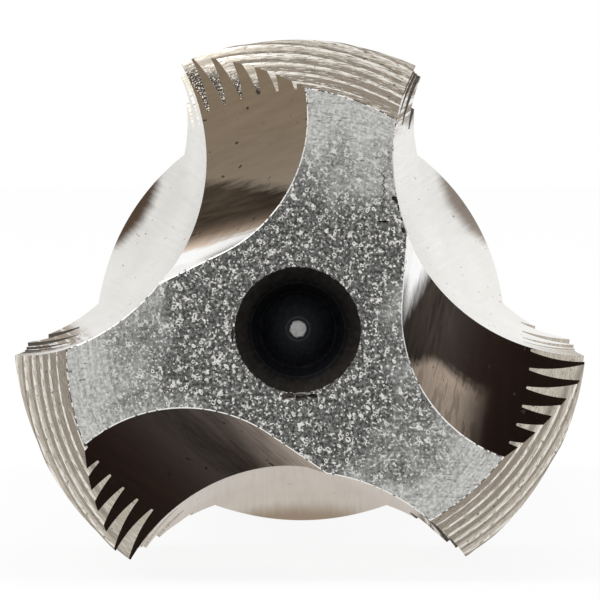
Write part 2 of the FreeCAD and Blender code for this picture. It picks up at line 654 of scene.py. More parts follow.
class Nodes:
    """The nodes of one material or of the world."""

    def __init__(self, tree: bpy.types.NodeTree) -> None:
        """Hold the tree that the nodes are added to."""
        self.tree = tree

    def link(self, socket: bpy.types.NodeSocket, value: Wire | float | Colour) -> None:
        """Give a socket a link or a value.

        Args:
            socket: The input socket.
            value: What it gets. A colour gets its fourth number here.
        """
        if isinstance(value, Wire):
            self.tree.links.new(value.socket, socket)
        elif isinstance(value, tuple) and len(socket.default_value) == 4:
            socket.default_value = (*value, 1.0)
        else:
            socket.default_value = value

    def node(self, kind: str, settings: dict[str, object], *values: object, output: int = 0) -> Wire:
        """Add a node.

        Args:
            kind: Blender's name for its type.
            settings: Its properties, which are set first.
            values: What its enabled input sockets get, in order. None leaves one as it is.
            output: Which of its enabled outputs is wanted.

        Returns:
            That output.
        """
        node = self.tree.nodes.new(kind)
        for name, setting in settings.items():
            setattr(node, name, setting)
        sockets = [socket for socket in node.inputs if socket.enabled]
        for socket, value in zip(sockets, values):
            if value is not None:
                self.link(socket, value)
        return Wire(self, [socket for socket in node.outputs if socket.enabled][output])

    def maths(self, operation: str, *values: Number) -> Wire:
        """Add a Math node."""
        return self.node("ShaderNodeMath", {"operation": operation}, *values)

    def vector(self, across: Number, along: Number, up: Number) -> Wire:
        """Combine three numbers."""
        return self.node("ShaderNodeCombineXYZ", {}, across, along, up)

    def blend(self, factor: Number, first: Wire | Colour, second: Wire | Colour) -> Wire:
        """Mix two colours: the first at 0, the second at 1."""
        return self.node("ShaderNodeMix", {"data_type": "RGBA"}, factor, first, second)

    def over(self, factor: Number, below: Wire, above: Wire) -> Wire:
        """Mix two shaders: the lower one at 0, the upper one at 1."""
        return self.node("ShaderNodeMixShader", {}, factor, below, above)

    def show(self, shader: Wire) -> None:
        """Make a shader the one that is seen."""
        ends = [node for node in self.tree.nodes if node.type in ("OUTPUT_MATERIAL", "OUTPUT_WORLD")]
        self.link(ends[0].inputs["Surface"], shader)


class Surface(Nodes):
    """The nodes of one material, which reads its place in millimetres from the tap's point."""

    tip = Vector(ORIGIN)
    dip = 0.0
    object_output = 3

    def __init__(self, name: str) -> None:
        """Start an empty material.

        Args:
            name: What the material is called.
        """
        self.material = bpy.data.materials.new(name)
        self.material.use_nodes = True
        super().__init__(self.material.node_tree)
        self.tree.nodes.remove(self.tree.nodes["Principled BSDF"])

    @classmethod
    def laid(cls, tip: Vector, dip: float) -> None:
        """Say where the tap lies, for all materials made from now on.

        Args:
            tip: The middle of the end face at the point, in millimetres.
            dip: How far the axis dips towards the shank, in degrees.
        """
        cls.tip = tip
        cls.dip = math.radians(dip)

    @cached_property
    def place(self) -> tuple[Wire, Wire, Wire]:
        """Read the place on the tap.

        Returns:
            Millimetres across, along the axis from the point, and up.
        """
        turned = Matrix.Rotation(self.dip, 3, "X")
        coordinates = self.node("ShaderNodeTexCoord", {}, output=self.object_output)
        move = tuple(-(turned @ self.tip))
        mapped = self.node("ShaderNodeMapping", {}, coordinates, move, (self.dip, 0, 0), (1 / MM,) * 3)
        parts = [self.node("ShaderNodeSeparateXYZ", {}, mapped, output=index) for index in range(3)]
        return parts[0], parts[1], parts[2]

    def length(self, first: Wire, second: Wire) -> Wire:
        """Return the length of two sides at right angles."""
        return self.maths("SQRT", first * first + second * second)

    def grain(self, x: Number, y: Number, z: Number, detail: float = 3.0, roughness: float = 0.55) -> Wire:
        """Add cloudy noise of one cell a unit, round 0.5."""
        return self.node("ShaderNodeTexNoise", {}, self.vector(x, y, z), 1.0, detail, roughness)

    def relief(self, height: Wire, depth: float) -> Wire:
        """Raise the surface by a height from 0 to 1, up to a depth in millimetres."""
        return self.node("ShaderNodeBump", {}, 1.0, depth * MM, None, height)

    def lightened(self, value: Wire, colour: Wire | Colour) -> Wire:
        """Multiply a colour's lightness by a value."""
        return self.node("ShaderNodeHueSaturation", {}, None, None, value, None, colour)

    def principled(self, inputs: dict[str, Wire | float | Colour]) -> Wire:
        """Add a Principled shader.

        Args:
            inputs: What its sockets get, by their names.

        Returns:
            The shader.
        """
        shader = self.tree.nodes.new("ShaderNodeBsdfPrincipled")
        for name, value in inputs.items():
            self.link(shader.inputs[name], value)
        return Wire(self, shader.outputs[0])

    def metal(self, colour: Wire | Colour, roughness: Number, relief: Wire, edge: Colour = WHITE) -> Wire:
        """Add bare metal.

        Args:
            colour: What it reflects head on.
            roughness: How blurred its reflections are.
            relief: Its bumps.
            edge: What is left of its reflection at a glancing angle.

        Returns:
            The shader.
        """
        shine = {"Metallic": 1.0, "Specular Tint": edge, "Roughness": roughness}
        return self.principled({**shine, "Base Color": colour, "Normal": relief})

    def stain_and_shade(self, colour: Wire | Colour) -> Wire:
        """Add a dull skin without shine: real stains and pits, and painted shade in the gash tints."""
        return self.principled({"Base Color": colour, "Specular IOR Level": 0.0})


@dataclass(frozen=True)
class Finish:
    """How one kind of face looks."""

    name: str

    def shader(self, surface: Surface) -> Wire:
        """Mix the finish's shader."""
        raise NotImplementedError

    def material(self) -> bpy.types.Material:
        """Make the material.

        Returns:
            The material.
        """
        surface = Surface(self.name)
        surface.show(self.shader(surface))
        return surface.material


@dataclass(frozen=True)
class SpeckledFinish(Finish):
    """The end faces: covered in tiny rings and curls near the middle, finer and brighter towards the tips."""

    name: str = "speckled_end_face"
    gap: Colour = (0.05, 0.05, 0.047)
    haze: Colour = (0.27, 0.27, 0.26)
    curl: Colour = (0.8, 0.79, 0.76)
    grey: Colour = (0.34, 0.34, 0.325)
    light: Colour = (0.66, 0.66, 0.64)
    dot_size: float = 0.072
    ring_size: float = 0.135
    curls_per_mm: float = 9.5
    specks_per_mm: float = 15.0
    coarse_radius: float = 2.4
    fine_radius: float = 4.6
    crack_across: float = 1.74
    crack_low: float = 2.2
    crack_high: float = 3.3
    crack_fade: float = 0.1
    roughness: float = 0.34
    bump_height: float = 0.006

    def rings(self, surface: Surface, where: Wire) -> Wire:
        """Find the rings that lie in some of a net's cells.

        Args:
            surface: The material.
            where: The place, with one cell a unit.

        Returns:
            1 on the rings.
        """
        distance = surface.node("ShaderNodeTexVoronoi", {}, where, 1.0)
        hue = surface.node("ShaderNodeTexVoronoi", {}, where, 1.0, output=1)
        chance = surface.node("ShaderNodeSeparateColor", {}, hue)
        return distance.rises(0.15, 0.22) * distance.falls(0.27, 0.35) * chance.rises(0.66, 0.74)

    def marks(self, surface: Surface, small: Wire) -> Wire:
        """Find the bright dots, rings and curls.

        Args:
            surface: The material.
            small: Specks, which break the dots up.

        Returns:
            1 on the marks.
        """
        across, along, up = surface.place
        bend = surface.grain(across * 7, 3.0, up * 7, 1.0) * 0.9
        swirl = surface.grain(across * self.curls_per_mm, 11.0, up * self.curls_per_mm, 1.5, 0.5)
        lit = surface.grain(across * 6, 5.0, up * 6, 2.0).rises(0.5, 0.66)
        curls = surface.maths("ABSOLUTE", swirl - 0.5).falls(0.03, 0.08) * lit
        cells = surface.vector(across / self.dot_size + bend, 0.0, up / self.dot_size - bend)
        distance = surface.node("ShaderNodeTexVoronoi", {}, cells, 1.0)
        dots = distance.falls(0.24, 0.36) * small.rises(0.42, 0.56)
        net = surface.vector(across / self.ring_size + bend, 0.0, up / self.ring_size - bend)
        return surface.maths("MAXIMUM", surface.maths("MAXIMUM", curls, dots), self.rings(surface, net))

    def crack(self, surface: Surface) -> Wire:
        """Find the hairline crack in the top land.

        Args:
            surface: The material.

        Returns:
            1 on the crack.
        """
        across, along, up = surface.place
        wiggle = surface.grain(along, 21.0, up * 5, 2.0, 0.6) - 0.5
        line = surface.maths("ABSOLUTE", across - self.crack_across - wiggle * 0.5).falls(0.008, 0.02)
        low, high = self.crack_low, self.crack_high
        return line * up.rises(low, low + self.crack_fade) * up.falls(high - self.crack_fade, high)

    def shader(self, surface: Surface) -> Wire:
        """Mix the shader: coarse marks where the face is blasted, fine turned lines where it is rubbed.

        Args:
            surface: The material's nodes.

        Returns:
            The shader.
        """
        across, along, up = surface.place
        radius = surface.length(across, up)
        patches = surface.grain(across * 0.9, 0.0, up * 0.9, 2.0) - 0.5
        rubbed = across.rises(0.9, 2.0) * up.rises(-2.2, -0.6) * up.falls(0.6, 1.6) * 0.7
        coarse = (radius + rubbed + patches * 3.5).falls(self.coarse_radius, self.fine_radius)
        small = surface.grain(across * self.specks_per_mm, 0.0, up * self.specks_per_mm, 2.0, 0.6)
        marks = self.marks(surface, small)
        ground = surface.blend(small.rises(0.35, 0.75), self.gap, self.haze)
        coarse_tone = surface.blend(marks, ground, self.curl)
        turned = surface.grain(radius * 20, 0.0, across * 2.0, 2.0, 0.6)
        fine_tone = surface.blend((small - 0.5) * 2.6 + (turned - 0.5) * 2.2 + 0.55, self.grey, self.light)
        scratches = surface.grain(across * 4, 7.0, up * 20, 3.0, 0.6).falls(0.33, 0.41)
        fine_tone = surface.blend(scratches * 0.7, fine_tone, self.gap)
        fine_tone = surface.blend(marks * 0.35, fine_tone, self.curl)
        colour = surface.blend(coarse, fine_tone, coarse_tone)
        colour = surface.blend(self.crack(surface) * 0.9, colour, self.gap)
        relief = surface.relief(coarse * marks + small * 0.5, self.bump_height)
        return surface.metal(colour, self.roughness + small * 0.1, relief)


@dataclass(frozen=True)
class LandFinish(Finish):
    """Lead and thread: warm grey steel, with short bright and dark dashes round the axis; the brightest
    dashes are painted glints.
    """

    warm: Colour
    edge: Colour
    lead: Lead
    in_groove: float = 0.0
    bright: Colour = (0.85, 0.82, 0.76)
    bright_edge: Colour = (0.9, 0.88, 0.85)
    dark: Colour = (0.1, 0.085, 0.07)
    dark_edge: Colour = (0.12, 0.1, 0.08)
    pit: Colour = (0.02, 0.016, 0.013)
    heel_side: float = 2.6
    heel_fade: float = 0.2
    roughness: float = 0.2
    dark_roughness: float = 0.35
    bump_height: float = 0.0004

    def shader(self, surface: Surface) -> Wire:
        """Mix the shader. Painted highlights on the crest rims, painted shade along the root lines, pits and
        dark heels are for the groove alone.

        Args:
            surface: The material's nodes.

        Returns:
            The shader.
        """
        across, along, up = surface.place
        radius = surface.length(across, up)
        angle = surface.maths("ARCTAN2", across, up)
        dashes = surface.grain(radius * 48, angle * 26, along * 1.0, 2.0, 0.6)
        grit = surface.grain(across * 30, along * 6, up * 30, 2.0, 0.6)
        specks = surface.grain(radius * 16, angle * 60, along * 2.0 + 9.0, 1.0, 0.5)
        broad = surface.grain(radius * 2.5, angle * 2.5, along * 0.4, 2.0)
        # patches, strongest on the top land, that scale the painted glints and the dark dashes
        worn = broad.rises(0.34, 0.54) * (0.25 + up.rises(3.0, 5.0) * 0.75)
        half = math.pi / LAND_COUNT
        local = surface.maths("WRAP", angle, half, -half)
        sideways = radius * surface.maths("SINE", local) + self.lead.relief
        outwards = radius * surface.maths("COSINE", local)
        cone = along * tangent(self.lead.angle) + self.lead.point_radius
        below = cone - surface.length(sideways, outwards)
        # painted highlight: a bright broken line just below each crest of the groove
        rim = below.rises(0.0, 0.01) * below.falls(0.03, 0.07) * self.in_groove
        shade = surface.blend((dashes - 0.5) * 0.7 + (broad - 0.5) * 0.6 + 0.12, self.warm, self.bright)
        relief = surface.relief(dashes, self.bump_height)
        body = surface.metal(shade, self.roughness + dashes * 0.1, relief, self.edge)
        painted_glint_shader = surface.metal(self.bright, self.roughness, relief, self.bright_edge)
        dull = surface.metal(self.dark, self.dark_roughness, relief, self.dark_edge)
        # painted highlights: bright glint dashes and the bright crest lines
        glints = dashes.rises(0.55, 0.63) * (0.05 + worn * 0.7) + rim * dashes.rises(0.42, 0.5) * 0.9
        gaps = dashes.falls(0.34, 0.44) * (0.05 + worn * 0.55) + specks.falls(0.27, 0.33) * 0.6
        body = surface.over(glints, body, painted_glint_shader)
        body = surface.over(gaps, body, dull)
        # painted shade: a dark line down in the groove, where the crest in front shades it
        root = below.rises(0.1, 0.15) * below.falls(0.19, 0.26) * self.in_groove * 0.45
        body = surface.over(root, body, dull)
        corner = up.rises(4.0, 4.3) * across.falls(-0.7, -0.3) * along.falls(11.0, 13.0)
        pitted = grit.rises(0.3, 0.52) * below.rises(0.15, 0.55) * corner * self.in_groove
        heel = sideways.rises(self.heel_side, self.heel_side + self.heel_fade) * along.rises(*RUN_OUT)
        body = surface.over(pitted * 0.95, body, surface.stain_and_shade(self.pit))
        return surface.over(heel * self.in_groove * 0.85, body, surface.stain_and_shade(self.pit))


@dataclass(frozen=True)
class ToneLayer:
    """One tint of a gash or flute, and where it begins; gash tints and the flutes' brown smears are painted
    reflections and shade. One without an edge colour is dull, without shine.
    """

    colour: Colour
    edge: Colour | None = None
    start: tuple[float, float] = (0.0, 0.0)
    climb: float = 0.0

    def shader(self, surface: Surface, drawn: Wire, relief: Wire, roughness: float) -> Wire:
        """Mix the layer's shader. A dull layer is painted lighter further in, which offsets the shade deep in
        the gash.

        Args:
            surface: The material.
            drawn: Lines along the axis, which vary the tone.
            relief: The surface's bumps.
            roughness: How blurred its reflections are, where it is metal.

        Returns:
            The shader.
        """
        if self.edge is None:
            # painted light: a dull layer is lighter further into the gash, against the shade that falls there
            painted_depth_light = 0.85 + surface.place[1].rises(-2.0, 8.0) * 0.9
            return surface.stain_and_shade(surface.lightened(((drawn - 0.5) * 1.6 + 1.0) * painted_depth_light, self.colour))
        tone = surface.lightened((drawn - 0.5) * 0.5 + 1.0, self.colour)
        return surface.metal(tone, roughness, relief, self.edge)


@dataclass(frozen=True)
class GashFinish(Finish):
    """A spiral point: ground steel, with painted reflections and shade in dark brown bands, darker on one
    land than the next.

    The painted bands follow the gash's section from its floor up. Near the end face a lighter patch can lie
    on them.
    """

    land: int
    gash: SpiralPoint
    floor: ToneLayer
    tone_layers: tuple[ToneLayer, ...]
    patch: ToneLayer | None = None
    patch_depth: float = 3.8
    patch_fade: float = 1.6
    patch_top: tuple[float, float] = (3.4, 4.5)
    ragged: float = 0.35
    pit_colour: Colour = (0.04, 0.03, 0.025)
    roughness: float = 0.2
    floor_roughness: float = 0.12
    bump_height: float = 0.001

    def shader(self, surface: Surface) -> Wire:
        """Mix the shader in the land's own directions, which follow the gash's sweep.

        Args:
            surface: The material's nodes.

        Returns:
            The shader.
        """
        across, along, up = surface.place
        turn = math.radians(-LAND_SPACING * self.land)
        height = across * math.sin(turn) + up * math.cos(turn) + along * tangent(self.gash.descent_angle)
        side = up * math.sin(turn) - across * math.cos(turn) - along * tangent(self.gash.side_angle)
        lines = surface.grain(side * 1.2, along * 1.5, height * 1.2, 4.0, 0.65)
        drawn = surface.grain(side * 8, along * 0.3, height * 8, 3.0, 0.6)
        pits = surface.grain(side * 6, along * 1.3, height * 6, 1.0)
        level = height + (drawn - 0.5) * self.ragged + (lines - 0.5) * self.ragged * 0.3
        relief = surface.relief(drawn, self.bump_height)
        body = self.floor.shader(surface, drawn, relief, self.floor_roughness)
        # each tone layer paints a band of reflection and shade, laid on by height in the gash
        for tone_layer in self.tone_layers:
            layer = tone_layer.shader(surface, drawn, relief, self.roughness)
            body = surface.over((level - along * tone_layer.climb).rises(*tone_layer.start), body, layer)
        if self.patch:
            inwards = along - (height - self.patch.start[1]) + (drawn - 0.5) * 1.2 + (lines - 0.5) * 1.2
            near = inwards.falls(self.patch_depth - self.patch_fade, self.patch_depth)
            band = (level - along * self.patch.climb).rises(*self.patch.start) * level.falls(*self.patch_top)
            layer = self.patch.shader(surface, drawn, relief, self.roughness)
            body = surface.over(near * band * (1.0 - drawn.rises(0.46, 0.62) * 0.5), body, layer)
        thick = pits * along.falls(-1.0, 1.6) * level.falls(1.7, 2.2)
        pitted = pits.rises(0.7, 0.75) + thick.rises(0.48, 0.54)
        return surface.over(pitted * 0.85, body, surface.stain_and_shade(self.pit_colour))


@dataclass(frozen=True)
class BrightFinish(Finish):
    """Smoothly ground steel: the shank and the drive square."""

    roughness: float
    light: Colour = (0.62, 0.61, 0.59)
    shade: Colour = (0.44, 0.425, 0.4)
    edge: Colour = (0.55, 0.53, 0.5)
    bump_height: float = 0.002

    def shader(self, surface: Surface) -> Wire:
        """Mix the shader from grinding lines round the axis and soft clouds.

        Args:
            surface: The material's nodes.

        Returns:
            The shader.
        """
        across, along, up = surface.place
        lines = surface.grain(across * 5, along * 6.0, up * 5, 3.0, 0.6)
        clouds = surface.grain(across * 0.5, along * 0.15, up * 0.5, 2.0)
        colour = surface.blend((lines - 0.5) * 1.1 + (clouds - 0.5) * 1.2 + 0.4, self.light, self.shade)
        relief = surface.relief(lines, self.bump_height)
        return surface.metal(colour, self.roughness + lines * 0.1, relief, self.edge)


@dataclass(frozen=True)
class FluteFinish(Finish):
    """A flute: bright ground steel, with a painted brown reflection in its middle and a dark heel where the
    wheel climbed out.
    """

    land: int
    body: ToneLayer
    light: Colour
    straight: Colour = (0.84, 0.84, 0.82)
    straight_end: float = 18.0
    straight_fade: float = 6.0
    straight_roughness: float = 0.12
    body_roughness: float = 0.16
    dark_reflection: ToneLayer = ToneLayer((0.15, 0.13, 0.11), (0.4, 0.33, 0.29))
    dark_reflection_middle: float = 0.0
    dark_reflection_half_width: float = 0.95
    dark_reflection_strength: float = 1.0
    dark_reflection_radius: tuple[float, float] = (4.05, 4.35)
    dark_reflection_roughness: float = 0.25
    heel: Colour = (0.25, 0.19, 0.14)
    heel_side: float = 2.4
    heel_fade: float = 0.4
    bump_height: float = 0.002

    def shader(self, surface: Surface) -> Wire:
        """Mix the shader: the body, then the painted dark reflection in its middle, then streaks at its heel.

        Args:
            surface: The material's nodes.

        Returns:
            The shader.
        """
        across, along, up = surface.place
        turn = math.radians(-LAND_SPACING * self.land)
        side = across * math.cos(turn) - up * math.sin(turn)
        radius = surface.length(across, up)
        lines = surface.grain(side * 11, along * 0.3, 0.0, 3.0, 0.6)
        clouds = surface.grain(across * 0.8, along * 0.25, up * 0.8, 2.0)
        pits = surface.grain(across * 9, along * 1.5, up * 9, 1.0)
        tone = surface.blend((lines - 0.5) * 0.7 + (clouds - 0.5) * 2.0 + 0.4, self.light, self.body.colour)
        tone = surface.blend(pits.rises(0.72, 0.77) * 0.8, tone, self.dark_reflection.colour)
        relief = surface.relief(lines, self.bump_height)
        body = surface.metal(self.straight, self.straight_roughness, relief)
        fade = self.straight_fade
        far = (along + (clouds - 0.5) * 8).rises(self.straight_end - fade, self.straight_end + fade)
        roughness = self.body_roughness + lines * 0.08
        body = surface.over(far, body, surface.metal(tone, roughness, relief, self.body.edge))
        # painted reflection: a brown smear in the flute's middle, where it would mirror dark surroundings
        off = surface.maths("ABSOLUTE", side - self.dark_reflection_middle) / self.dark_reflection_half_width
        reach = radius + (lines - 0.5) * 0.15 - off * off * 0.3
        dark_reflection_mask = reach.rises(*self.dark_reflection_radius) * off.falls(0.8, 1.3) * self.dark_reflection_strength
        brown = surface.metal(self.dark_reflection.colour, self.dark_reflection_roughness, relief, self.dark_reflection.edge)
        body = surface.over(dark_reflection_mask, body, brown)
        streaks = surface.grain(side * 9, along * 0.2, 7.0, 3.0, 0.6) + (clouds - 0.5) * 0.6
        heel = side.rises(self.heel_side, self.heel_side + self.heel_fade) * along.rises(*RUN_OUT)
        return surface.over(heel * streaks.rises(0.4, 0.54) * 0.85, body, surface.stain_and_shade(self.heel))


@dataclass(frozen=True)
class EdgeFinish(Finish):
    """The worn edges of the end faces: bare steel painted bright as an edge highlight, broken by dark nicks.
    """

    name: str = "worn_edge"
    bright: Colour = (0.93, 0.92, 0.88)
    nick: Colour = (0.09, 0.08, 0.07)
    outer_radius: float = 4.6
    outer_fade: float = 0.4
    roughness: float = 0.3
    bump_height: float = 0.004

    def shader(self, surface: Surface) -> Wire:
        """Mix the shader, with more nicks at the lands than round the gashes.

        Args:
            surface: The material's nodes.

        Returns:
            The shader.
        """
        across, along, up = surface.place
        spots = surface.grain(across * 9, 0.0, up * 9, 2.0)
        outer = surface.length(across, up).rises(self.outer_radius - self.outer_fade, self.outer_radius)
        # partly wear, partly painted highlight along the rounded edges
        colour = surface.blend((spots + outer * 0.1).rises(0.55, 0.64), self.bright, self.nick)
        return surface.metal(colour, self.roughness, surface.relief(spots, self.bump_height))


@dataclass(frozen=True)
class HoleFinish(Finish):
    """The centre holes: painted dark for the shade deep in them, with a painted highlight dot where the
    drill's tip ended.
    """

    name: str = "oiled_centre_hole"
    mouth: Colour = (0.085, 0.075, 0.068)
    bottom: Colour = (0.036, 0.038, 0.044)
    ring: Colour = (0.14, 0.14, 0.14)
    painted_highlight_dot: Colour = (0.95, 0.95, 0.92)
    mouth_radius: float = 1.28
    bottom_radius: float = 0.96
    spot_radius: float = 0.165
    ring_width: float = 0.03
    rim_width: float = 0.01
    spot_fade: float = 0.02
    roughness: float = 0.42
    bump_height: float = 0.006

    def shader(self, surface: Surface) -> Wire:
        """Mix the shader from the mouth in: painted shade, a broken painted highlight round the mouth, faint
        rings and the highlight dot.

        Args:
            surface: The material's nodes.

        Returns:
            The shader.
        """
        across, along, up = surface.place
        radius = surface.length(across, up)
        grain = surface.grain(across * 12, along * 2, up * 12)
        edge = (radius + (grain - 0.5) * 0.1).rises(self.bottom_radius, self.bottom_radius + 0.1)
        # painted shade: the mouth and bottom of the hole are dark for the shade inside it
        colour = surface.lightened(0.3 + grain * 1.4, surface.blend(edge, self.bottom, self.mouth))
        mouth, width = self.mouth_radius, self.rim_width
        # painted highlight: a broken bright line round the mouth
        rim = radius.rises(mouth - 2 * width, mouth - width) * radius.falls(mouth, mouth + width)
        rim = rim * along.falls(0.02, 0.03) * grain.rises(0.5, 0.56)
        colour = surface.blend(rim, colour, self.painted_highlight_dot)
        for ring in (1.45 * self.spot_radius, 0.8 * self.bottom_radius, self.bottom_radius):
            line = radius.rises(ring - self.ring_width, ring) * radius.falls(ring, ring + self.ring_width)
            colour = surface.blend(line * grain, colour, self.ring)
        # painted highlight: a bright dot at the bottom of the hole
        painted_highlight_dot = radius - self.spot_radius + (grain - 0.5) * 0.08
        painted_highlight_dot = painted_highlight_dot.falls(-self.spot_fade, self.spot_fade)
        colour = surface.blend(painted_highlight_dot * (0.4 + 0.9 * grain), colour, self.painted_highlight_dot)
        return surface.metal(colour, self.roughness + grain * 0.15, surface.relief(grain, self.bump_height))


@dataclass(frozen=True)
class Chip:
    """A bit that has broken out of the end face at the point."""

    across: float
    up: float
    width: float
    height: float
    depth: float = 0.06
    roughness: float = 0.3

    def cutter(self, seed: int) -> Shape:
        """Model what is missing.

        Args:
            seed: Which of the random rough forms it has.

        Returns:
            The cutter.
        """
        nothing_selected()
        bpy.ops.mesh.primitive_ico_sphere_add(subdivisions=2, radius=MM)
        chip = Shape(bpy.context.object)
        with chip.editing():
            bpy.ops.transform.vertex_random(offset=self.roughness * MM, uniform=1.0, seed=seed)
            size = (self.width / 2, self.depth, self.height / 2)
            bpy.ops.transform.resize(value=size, center_override=(0, 0, 0))
            bpy.ops.transform.translate(value=(self.across * MM, 0, self.up * MM))
        return chip


CHIPS = (
    Chip(1.95, 2.66, 0.12, 0.1),
    Chip(2.0, 2.6, 0.1, 0.12),
    Chip(2.05, 2.48, 0.08, 0.14),
    Chip(2.12, 2.24, 0.1, 0.09),
    Chip(1.72, 2.19, 0.3, 0.04),
    Chip(2.13, 2.02, 0.09, 0.11),
    Chip(-0.2, -1.33, 0.3, 0.13),
    Chip(0.05, -1.36, 0.25, 0.16),
    Chip(0.3, -1.33, 0.22, 0.1),
    Chip(-1.32, -0.1, 0.05, 0.3),
)


@dataclass(frozen=True)
class Tap:
    """The whole tool, cut from one blank as the real one is."""

    blank: Blank = Blank()
    flutes: Flutes = Flutes()
    lead: Lead = Lead()
    spiral_point: SpiralPoint = SpiralPoint()
    thread: Thread = Thread()
    centre_hole: CentreHole = CentreHole()
    drive_square: DriveSquare = DriveSquare()
    chips: tuple[Chip, ...] = CHIPS
    edge_wear: float = 0.02
    end_facing: float = 0.999
    end_depth: float = 0.001
    hole_clearance: float = 0.01
    smooth_angle: float = 15.0

    def flute_finishes(self) -> list[bpy.types.Material]:
        """Make the finishes of the flutes.

        Returns:
            The materials of the flutes below, at the upper right and at the upper left.
        """
        # painted shade: the flute below is greyer and warmer than the other two, as it faces the floor
        below = FluteFinish(
            "ground_flute_below",
            0,
            body=ToneLayer((0.56, 0.52, 0.47), (0.72, 0.67, 0.62)),
            light=(0.72, 0.68, 0.63),
            straight=(0.72, 0.68, 0.63),
            dark_reflection=ToneLayer((0.34, 0.27, 0.21), (0.55, 0.46, 0.38)),
            dark_reflection_half_width=1.3,
            dark_reflection_strength=0.8,
            dark_reflection_radius=(3.95, 4.4),
        )
        right = FluteFinish(
            "ground_flute_right",
            1,
            body=ToneLayer((0.74, 0.73, 0.7), (0.98, 0.97, 0.95)),
            light=(0.88, 0.87, 0.85),
            dark_reflection=ToneLayer((0.24, 0.19, 0.15), (0.5, 0.42, 0.36)),
            dark_reflection_middle=0.35,
            dark_reflection_strength=0.8,
        )
        left = FluteFinish(
            "ground_flute_left",
            2,
            body=ToneLayer((0.66, 0.65, 0.62), (0.93, 0.92, 0.9)),
            light=(0.8, 0.79, 0.76),
            dark_reflection_middle=-0.25,
        )
        return [finish.material() for finish in (below, right, left)]

    def gash_finishes(self) -> list[bpy.types.Material]:
        """Make the finishes of the gashes.

        Returns:
            The materials of the gashes in the lands at the top, lower left and lower right.
        """
        # the gash tones are painted reflections and shade, with a different pattern on each land
        top = GashFinish(
            "ground_gash_top",
            0,
            self.spiral_point,
            floor=ToneLayer((0.9, 0.89, 0.87), WHITE),
            tone_layers=(
                ToneLayer((0.3, 0.24, 0.19), None, (1.9, 2.14)),
                ToneLayer((0.11, 0.082, 0.06), None, (2.08, 2.35)),
                ToneLayer((0.032, 0.024, 0.017), None, (2.25, 2.6)),
                ToneLayer((0.43, 0.36, 0.3), (0.37, 0.33, 0.28), (2.68, 3.0), 0.08),
            ),
            roughness=0.12,
        )
        left = GashFinish(
            "ground_gash_left",
            1,
            self.spiral_point,
            floor=ToneLayer((0.52, 0.45, 0.39)),
            tone_layers=(
                ToneLayer((0.26, 0.22, 0.19), None, (1.3, 1.8), 0.06),
                ToneLayer((0.09, 0.074, 0.064), None, (1.75, 2.35), 0.06),
                ToneLayer((0.036, 0.03, 0.026), None, (2.4, 3.3)),
                ToneLayer((0.1, 0.085, 0.075), (0.21, 0.19, 0.18), (3.0, 3.8)),
            ),
            ragged=0.2,
        )
        right = GashFinish(
            "ground_gash_right",
            2,
            self.spiral_point,
            floor=ToneLayer((0.92, 0.91, 0.9), WHITE),
            tone_layers=(
                ToneLayer((0.03, 0.024, 0.02), None, (1.5, 1.85), 0.07),
                ToneLayer((0.1, 0.085, 0.075), (0.21, 0.19, 0.18), (2.9, 3.6)),
            ),
            patch=ToneLayer((0.31, 0.25, 0.2), None, (2.2, 2.45), 0.17),
            ragged=0.25,
        )
        return [finish.material() for finish in (top, left, right)]

    def model(self) -> Shape:
        """Cut the tap out of its blank.

        Returns:
            The tap, with its axis along +Y and its point at the origin.
        """
        end = SpeckledFinish().material()
        lead = LandFinish("ground_lead", (0.3, 0.25, 0.2), (0.42, 0.36, 0.29), self.lead).material()
        groove = LandFinish("ground_thread", (0.44, 0.39, 0.32), (0.5, 0.45, 0.38), self.lead, 1.0).material()
        shank = BrightFinish("ground_shank", 0.22).material()
        square = BrightFinish("milled_square", 0.3).material()
        hole = HoleFinish().material()
        reach = self.blank.thread_radius + MARGIN
        length = self.blank.overall_length
        tap = self.blank.model(end, groove, shank)
        for cutter, finish in zip(self.flutes.cutters(reach), self.flute_finishes()):
            tap.cut(cutter, finish)
        for cutter in self.lead.cutters(reach):
            tap.cut(cutter, lead)
        for cutter, finish in zip(self.spiral_point.cutters(reach), self.gash_finishes()):
            tap.cut(cutter, finish)
        tap.cut(self.thread.cutter(self.blank.thread_radius, self.blank.thread_length + MARGIN), groove)
        tap.cut(self.centre_hole.cutter(0.0, End.POINT), hole)
        tap.cut(self.centre_hole.cutter(length, End.SHANK), hole)
        for cutter in self.drive_square.cutters(length, self.blank.shank_radius):
            tap.cut(cutter, square)
        self.wear_edges(tap)
        for seed, chip in enumerate(self.chips):
            tap.cut(chip.cutter(seed), hole)
        self.sharpen_borders(tap)
        tap.activate()
        bpy.ops.object.shade_smooth_by_angle(angle=math.radians(self.smooth_angle))
        return tap

    def wear_edges(self, tap: Shape) -> None:
        """Round the sharp edges of the end face at the point by a hair.

        Args:
            tap: The cut tap.
        """
        mesh = tap.body.data
        mesh.materials.append(EdgeFinish().material())
        borders: dict[tuple[int, int], int] = {}
        for face in mesh.polygons:
            if abs(face.normal.y) > self.end_facing and face.center.y < self.end_depth * MM:
                for key in face.edge_keys:
                    borders[key] = borders.get(key, 0) + 1
        hole = (self.centre_hole.mouth_radius + self.hole_clearance) * MM

        def is_worn(edge: bpy.types.MeshEdge) -> bool:
            """Say whether an edge bounds the end face and isn't the hole's.

            Args:
                edge: The edge.

            Returns:
                Whether it is worn.
            """
            place = mesh.vertices[edge.vertices[0]].co
            return borders.get(edge.key, 0) == 1 and math.hypot(place.x, place.z) >= hole

        wear = {"offset": self.edge_wear * MM, "material": len(mesh.materials) - 1}
        with tap.picking(Piece.EDGE, is_worn):
            bpy.ops.mesh.bevel(affect="EDGES", clamp_overlap=False, **wear)

